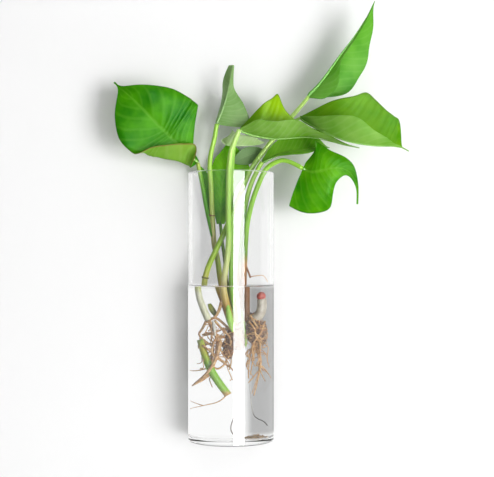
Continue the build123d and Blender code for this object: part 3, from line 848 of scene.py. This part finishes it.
LOOSE_ROOTS = [
    (
        0.9,
        [(-18, -6, 113), (-21, -6, 105), (-24.5, -6, 100.5), (-23, -7, 97), (-17.5, -8, 93), (-12.5, -8, 87)],
    ),
    (1.1, [(-6.7, -9, 131), (-8.5, -9, 122), (-12, -8, 115), (-17, -7, 112.5)]),
    (0.9, [(-12, -8, 113), (-9, -9, 108), (-3.6, -9, 102), (0.2, -9, 96.7), (0, -9, 89), (-3, -9, 84)]),
    (0.9, [(-14.5, -9, 83), (-8.2, -9, 77), (-0.6, -9, 70)]),
    (1.0, [(-13, -9, 87), (-15, -10, 78), (-14, -10, 70), (-8, -10, 68), (-4, -10, 74)]),
    (0.7, [(-24, -8, 97), (-19, -9, 92), (-14, -9, 90), (-10, -9, 93)]),
    (0.7, [(-20, -7, 99), (-12, -6, 101), (-5, -6, 106), (2, -7, 104)]),
    (0.6, [(-17, -8, 112), (-14, -9, 104), (-15, -9, 96), (-12, -9, 88), (-6, -9, 84)]),
    (0.6, [(12, -10, 108), (17, -14, 105), (22, -14, 107), (27, -12, 109)]),
    (0.6, [(13, -13, 100), (18, -15, 103), (22, -15, 99), (25, -13, 95)]),
    (0.6, [(14, -13, 94), (20, -14, 98), (24, -13, 91), (23, -12, 84)]),
    (0.5, [(18, -10, 90), (17, -11, 75), (15, -12, 63)]),
    (0.5, [(16, -10, 88), (13, -11, 72), (13.5, -11, 60)]),
    (0.6, [(22, -9, 90), (23.5, -9, 72), (20, -10, 54), (17.5, -10, 44)]),
    (0.4, [(20, -9, 90), (21, -10, 76), (25, -9, 66)]),
    (1.4, [(-8, -13.5, 94), (-10, -15, 82), (-14, -15.4, 72), (-21, -13.5, 61), (-29, -9, 54)]),
    (0.8, [(-22, -13, 90), (-16, -15, 85), (-9, -15, 79), (-3, -13, 73)]),
    (0.7, [(-12, -14.5, 96), (-16, -15.5, 86), (-13, -15.5, 78), (-5, -14, 76)]),
    (0.8, [(15, -14, 118), (19, -15, 110), (24, -14, 104), (28, -11, 106)]),
    (0.7, [(14, -14, 112), (20, -16, 106), (19, -16, 98), (25, -13, 93)]),
    (0.8, [(27, -9, 112), (25, -13, 102), (19, -15, 95), (16, -14, 86), (18, -12, 76)]),
]
for thick, route in LOOSE_ROOTS:
    radii = [LOOSE_SWELL * thick * (1 - 0.5 * k / len(route)) for k in range(len(route))]
    strands.append(strand("loose", route, radii, 2))
    strands[-1].data.materials.append(tan_root)
for count, (left, right, low, high) in (LEFT_TANGLE, RIGHT_TANGLE):
    for i in range(count):
        place = Vector((chance.uniform(left, right), chance.uniform(-13, -4), chance.uniform(low, high)))
        route = [place.copy()]
        for k in range(TANGLE_STEPS):
            place += Vector((chance.uniform(-5, 5), chance.uniform(-2, 2), chance.uniform(-8, 3)))
            place.x = min(max(place.x, left - 4), right + 4)
            route.append(place.copy())
        strands.append(strand("loose", route, [chance.uniform(0.25, 0.55)] * len(route), 1))
        strands[-1].data.materials.append(tan_root)
SHOOTS = {
    "shoot_green": (
        [(8, -8, 122), (10.5, -10, 108), (11.8, -10.5, 98), (11.4, -10.5, 89)], [1.2, 1.7, 1.6, 0.5],
        colour(160, 214, 76), colour(206, 236, 132),
    ),
    "shoot_lime": (
        [(-2.5, -11, 128), (-1.5, -13, 119), (0, -13.5, 110), (1.5, -12.5, 103)], [1.2, 2.6, 2.8, 1.0],
        colour(146, 216, 40), colour(196, 240, 110),
    ),
    "shoot_olive": (
        [(-15.5, -2, 128), (-13.5, -3, 122), (-10.5, -4, 117)], [1.2, 3.2, 1.4],
        colour(120, 140, 14), colour(176, 186, 40),
    ),
    "shoot_white": (
        [(-13.5, -11, 113), (-12.5, -12.5, 107), (-12, -12.5, 99)], [0.7, 1.7, 0.7],
        colour(222, 220, 204), colour(246, 246, 238),
    ),
}
for name, (route, radii, dark, light) in SHOOTS.items():
    shoot = strand(name, route, radii, 3)
    shoot.data.materials.append(grain_finish(name + "_skin", dark, light, 120, 0.45, 0.1))
    strands.append(shoot)
clump = joined(strands, "root_clump_tangle")
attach(clump, "plant")
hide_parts("root_clump")

# Roots. Single tan roots, some thick and some thread-thin, that are a little uneven and taper to their
# tips, with the green cut end of a stem and a pale stub with a red bud among them.
ROOT_ROUGH = 0.12
THREAD_SPECKS = 0.2
THREAD_TONES = {
    "root_thread_skin": [(4, (96, 60, 36)), (24, (84, 58, 42)), (30, (214, 206, 196)), (92, (226, 222, 216))],
    "root_dark_skin": [(4, (30, 22, 18)), (25, (46, 36, 30)), (30, (206, 200, 192)), (92, (226, 222, 216))],
}
brown_root = grain_finish("root_brown_skin", colour(120, 72, 44), colour(178, 128, 84), 300, 0.6, 0.4)
pale_stub = grain_finish("stub_pale_skin", colour(186, 174, 150), colour(222, 216, 200), 160, 0.45, 0.2)
thread, dark_thread = (
    stem_finish(name, [(level, colour(*tone)) for level, tone in tones], THREAD_SPECKS)
    for name, tones in THREAD_TONES.items()
)
ROOTS = {
    "root_tan": (
        1.2, 1.0, [(-16.5, -6, 113), (-12, -7, 116.5), (-6, -8, 111), (0, -8, 104)], tan_root, "root_tan"
    ),
    "root_join": (
        1.3, 1.5, [(-16.5, -6, 114), (-11, -7, 102), (-9.5, -8, 88), (-13, -9.5, 72), (-15, -10, 66)],
        tan_root, "root_tan",
    ),
    "root_coil": (
        0.9, 0.9, [(-21, -5, 99), (-16, -4, 103), (-8, -4, 96), (0, -6, 100)], tan_root, "root_tan"
    ),
    "root_left_thick": (0.7, 1.5, [(-31, -6, 52), (-22, -9, 57), (-14.5, -10, 65)], tan_root, "root_tan"),
    "root_left_thin": (0.3, 0.7, [(-33, -4, 66), (-26, -6, 65), (-16, -10, 70)], tan_root, "root_tan"),
    "root_forked": (
        0.25, 0.6, [(-33, -5, 30.5), (-22, -9, 34.5), (-6, -10, 39), (-3, -10, 46)], tan_root, "root_tan"
    ),
    "root_fork_tip": (0.22, 0.45, [(-33, -5, 38), (-28, -7, 36.5), (-21, -9, 34.7)], tan_root, "root_tan"),
    "root_hook": (
        0.45, 0.14, [(5, -10, 7), (1, -10, 8.5), (-0.5, -10, 16), (3, -10, 26), (8, -9.5, 50), (8, -8, 90)],
        thread, "root_brown",
    ),
    "root_dark": (
        0.55, 0.14, [(29, -8, 15.5), (26, -8, 20), (20.5, -8, 22), (16, -8, 27), (14, -8, 55), (12, -8, 92)],
        dark_thread, "root_black",
    ),
    "root_right_long": (
        0.4, 1.0, [(13.5, -12, 56), (19, -10, 63), (24, -9, 71), (22, -8.5, 84), (14, -8, 96)], tan_root,
        "root_tan",
    ),
    "root_right_side": (0.35, 0.8, [(33, -6, 59), (28, -8, 66), (24, -9, 71)], tan_root, "root_tan"),
    "root_right_low": (0.3, 0.7, [(16, -10, 46), (20, -9.5, 58), (22, -9, 68)], tan_root, "root_tan"),
    "root_twig": (
        0.9, 0.8, [(18, -13, 152), (15.5, -12.5, 159), (12.5, -11.3, 167)], brown_root, "root_brown"
    ),
    "root_arch": (
        0.25, 0.4, [(34, -4, 148), (31, -6, 154.5), (25, -9, 154), (18, -13, 153)], tan_root, "root_tan"
    ),
}
for name, (tip, foot, route, skin, slot) in ROOTS.items():
    steps = len(route) - 1
    root = strand(name + "_strand", route, [tip + (foot - tip) * i / steps for i in range(steps + 1)], 3)
    for vertex in root.data.vertices:
        vertex.co += vertex.normal * ROOT_ROUGH * foot * MM * noise.noise(vertex.co * 700)
    root.data.materials.append(skin)
    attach(root, "plant")
    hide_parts(name)

cut = strand(
    "stem_cut_stalk", [(-24, -10, 95), (-19, -10, 78), (-13, -10, 62), (-2, -10, 45)], [2.9, 3.2, 3.3, 3.1]
)
CUT_TONES = [
    (43, (196, 150, 92)), (47, (206, 176, 110)), (50, (150, 210, 60)), (74, (132, 196, 40)),
    (90, (206, 196, 40)), (97, (150, 190, 60)),
]
CUT_SPECKS = 0.8
cut.data.materials.append(stem_finish("stem_cut_skin", stem_tones(CUT_TONES), CUT_SPECKS))
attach(cut, "plant")
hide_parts("stem_cut")

stub = strand(
    "stub_pale_stalk", [(24.5, -11.5, 133), (26, -9.5, 123), (17, -8.5, 112), (10, -8, 108)],
    [4.2, 4.5, 4.2, 3.2],
)
stub.data.materials.append(pale_stub)
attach(stub, "plant")
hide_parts("stub_pale")

BUD_MIDDLE = Vector((24.3, -12, 135))
BUD_RADIUS = 4.2
bpy.ops.mesh.primitive_uv_sphere_add(segments=40, ring_count=24, radius=1)
bud = bpy.context.object
bud.name = "bud_scales"
for vertex in bud.data.vertices:
    swell = BUD_RADIUS * (0.97 + 0.06 * noise.noise(vertex.co * 2.2))
    vertex.co = (BUD_MIDDLE + vertex.co * swell) * MM
bpy.ops.object.shade_smooth()
bud.data.materials.append(
    grain_finish("bud_red_skin", colour(186, 44, 34), colour(226, 110, 88), 260, 0.45, 0.3)
)
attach(bud, "plant")
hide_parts("bud_red")

# Studio. A white wall close behind the flat back and a white floor far below, a large soft lamp at the right
# front that throws pale shadows to the left, and a tall white card that only the glass and the leaves mirror.
# Seen through or in the glass, the wall carries painted shade and light: a grey patch behind the right of the
# water is a painted shadow of the water, and above the water the wall is painted lighter towards the right.
WALL_AT = 11.5 * MM
WALL_SIZE = 8
WALL_WHITE = 0.95
WALL_PAINTED_SHADE = 0.4
FLOOR_AT = -1000 * MM
FLOOR_SIZE = 40
FLOOR_WHITE = 0.93
FLOOR_OWN = 0.9
PAINTED_SHADE_AND_LIGHT_LEFT = (7 * MM, 14 * MM)
PAINTED_SHADE_RIGHT = (62 * MM, 38 * MM)
PAINTED_SHADE_AND_LIGHT_TOP = (148 * MM, 140 * MM)
PAINTED_SHADE_FOOT = (2 * MM, 10 * MM)
PAINTED_LIGHT_LEFT = 0.5
PAINTED_LIGHT_RIGHT = 0.8
CARD_AT = Vector((0.43, -1.08, 0.16))
CARD_SIZE = (0.62, 1.6, 1)
CARD_LEVEL = 20.0
KEY_AT = Vector((1.95, -2.1, -0.15))
KEY_AIM = Vector((-0.3, 0, 0.25))
KEY_SIZE = (1.3, 1.5)
KEY_POWER = 65
TOP_AT = (0.2, -0.6, 1.7)
TOP_SIZE = (1.2, 1.2)
TOP_POWER = 4
ROOM_LEVEL = 0.33
CAMERA_AT = (0.015, -1.09, 0.173)
CAMERA_LENS = 85
CAMERA_SENSOR = 36
CAMERA_SHIFT = 0.0334
CLEAR_BOUNCES = 20
LAMP_PASSES = 32


def backdrop_finish(name, tone, painted_shade_level, own):
    """A white painted surface, with its own plain white where it is seen through or in the glass; there it
    also shows a painted shadow behind the right of the water, and painted light that whitens it towards the
    right above the water.
    """
    finish, tree, shader = new_finish(name)
    shader.inputs["Base Color"].default_value = (tone, tone, tone, 1)
    shader.inputs["Roughness"].default_value = 0.9
    place = put(tree, "ShaderNodeSeparateXYZ", {0: put(tree, "ShaderNodeTexCoord").outputs["Object"]})

    def slope(axis, ends):
        """A smooth step along one axis, from the first of two places to the second."""
        return mapped(tree, place.outputs[axis], *ends, interpolation_type="SMOOTHSTEP")

    # Painted shadow: a grey patch from the foot to the water line, behind the right of the vase, where the
    # water throws its shade on the wall.
    painted_shade_mask = slope("X", PAINTED_SHADE_AND_LIGHT_LEFT)
    for axis, ends in (("X", PAINTED_SHADE_RIGHT), ("Z", PAINTED_SHADE_AND_LIGHT_TOP), ("Z", PAINTED_SHADE_FOOT)):
        painted_shade_mask = figure(tree, "MULTIPLY", painted_shade_mask, slope(axis, ends))
    strength = put(tree, "ShaderNodeMix", {0: painted_shade_mask, 2: 1.0, 3: painted_shade_level}).outputs[0]
    glow = put(tree, "ShaderNodeEmission", {"Color": (1, 1, 1, 1), "Strength": strength})
    # Painted light: above the water, the wall seen through the glass takes more plain white towards the
    # right, from half at the left to most of it at the right.
    air = mapped(tree, slope("X", PAINTED_SHADE_AND_LIGHT_LEFT), low=PAINTED_LIGHT_LEFT, high=PAINTED_LIGHT_RIGHT)
    rays = put(tree, "ShaderNodeLightPath").outputs
    clear = figure(tree, "MAXIMUM", rays["Is Transmission Ray"], rays["Is Glossy Ray"])
    clear = figure(tree, "MULTIPLY", clear, figure(tree, "LESS_THAN", rays["Diffuse Depth"], 0.5))
    clear = figure(tree, "MULTIPLY", clear, mapped(tree, slope("Z", PAINTED_SHADE_AND_LIGHT_TOP), low=air, high=1.0))
    clear = figure(tree, "MAXIMUM", clear, figure(tree, "MULTIPLY", rays["Is Camera Ray"], own))
    face = put(tree, "ShaderNodeMixShader", {0: clear, 1: shader.outputs[0], 2: glow.outputs[0]})
    side = put(tree, "ShaderNodeNewGeometry").outputs["Backfacing"]
    shown(tree, side, face, put(tree, "ShaderNodeBsdfTransparent"))
    return finish


def soft_lamp(place, size, power):
    """An area lamp that lights the pieces and shows in no glass."""
    bpy.ops.object.light_add(type="AREA", location=place)
    lamp = bpy.context.object
    lamp.data.shape = "RECTANGLE"
    lamp.data.size, lamp.data.size_y = size
    lamp.data.energy = power
    lamp.visible_glossy = lamp.visible_transmission = False
    return lamp


bpy.ops.mesh.primitive_plane_add(size=FLOOR_SIZE, location=(0, 0, FLOOR_AT))
floor = bpy.context.object
floor.name = "floor"
floor.data.materials.append(backdrop_finish("floor_white", FLOOR_WHITE, 1.0, FLOOR_OWN))

bpy.ops.mesh.primitive_plane_add(
    size=WALL_SIZE, location=(0, WALL_AT, WALL_SIZE / 2 + FLOOR_AT), rotation=(math.radians(90), 0, 0)
)
wall = bpy.context.object
wall.name = "wall"
bpy.ops.object.transform_apply(location=True, rotation=True)
wall.data.materials.append(backdrop_finish("wall_white_painted_shade", WALL_WHITE, WALL_PAINTED_SHADE, 0.0))

bpy.ops.mesh.primitive_plane_add(size=1, location=CARD_AT)
card = bpy.context.object
card.name = "mirror_card"
card.scale = CARD_SIZE
card.rotation_euler = Vector((-CARD_AT.x, -CARD_AT.y, 0)).to_track_quat("Z", "Y").to_euler()
finish, tree, _ = new_finish("card_white")
first = figure(tree, "LESS_THAN", put(tree, "ShaderNodeLightPath").outputs["Diffuse Depth"], 0.5)
level = figure(tree, "MULTIPLY", first, CARD_LEVEL)
glow = put(tree, "ShaderNodeEmission", {"Color": (1, 1, 1, 1), "Strength": level})
tree.links.new(glow.outputs[0], tree.nodes["Material Output"].inputs["Surface"])
card.data.materials.append(finish)
card.visible_camera = card.visible_diffuse = card.visible_transmission = card.visible_shadow = False

key = soft_lamp(KEY_AT, KEY_SIZE, KEY_POWER)
key.rotation_euler = (KEY_AIM - KEY_AT).to_track_quat("-Z", "Y").to_euler()
soft_lamp(TOP_AT, TOP_SIZE, TOP_POWER)

world = bpy.data.worlds.new("studio")
bpy.context.scene.world = world
world.use_nodes = True
tree = world.node_tree
rays = put(tree, "ShaderNodeLightPath").outputs
later = figure(tree, "GREATER_THAN", rays["Diffuse Depth"], 0.5)
later = figure(tree, "MAXIMUM", later, rays["Is Glossy Ray"])
sky = tree.nodes["Background"]
sky.inputs["Color"].default_value = (1, 1, 1, 1)
tree.links.new(mapped(tree, later, low=1.0, high=ROOM_LEVEL), sky.inputs["Strength"])

camera_data = bpy.data.cameras.new("camera")
camera_data.lens = CAMERA_LENS
camera_data.sensor_width = CAMERA_SENSOR
camera_data.shift_y = CAMERA_SHIFT
camera = bpy.data.objects.new("camera", camera_data)
camera.location = CAMERA_AT
camera.rotation_euler = (math.radians(90), 0, 0)
scene = bpy.context.scene
scene.collection.objects.link(camera)
scene.camera = camera
scene.view_settings.view_transform = "Standard"
scene.cycles.max_bounces = CLEAR_BOUNCES
scene.cycles.transmission_bounces = CLEAR_BOUNCES
scene.cycles.glossy_bounces = CLEAR_BOUNCES
scene.cycles.transparent_max_bounces = LAMP_PASSES
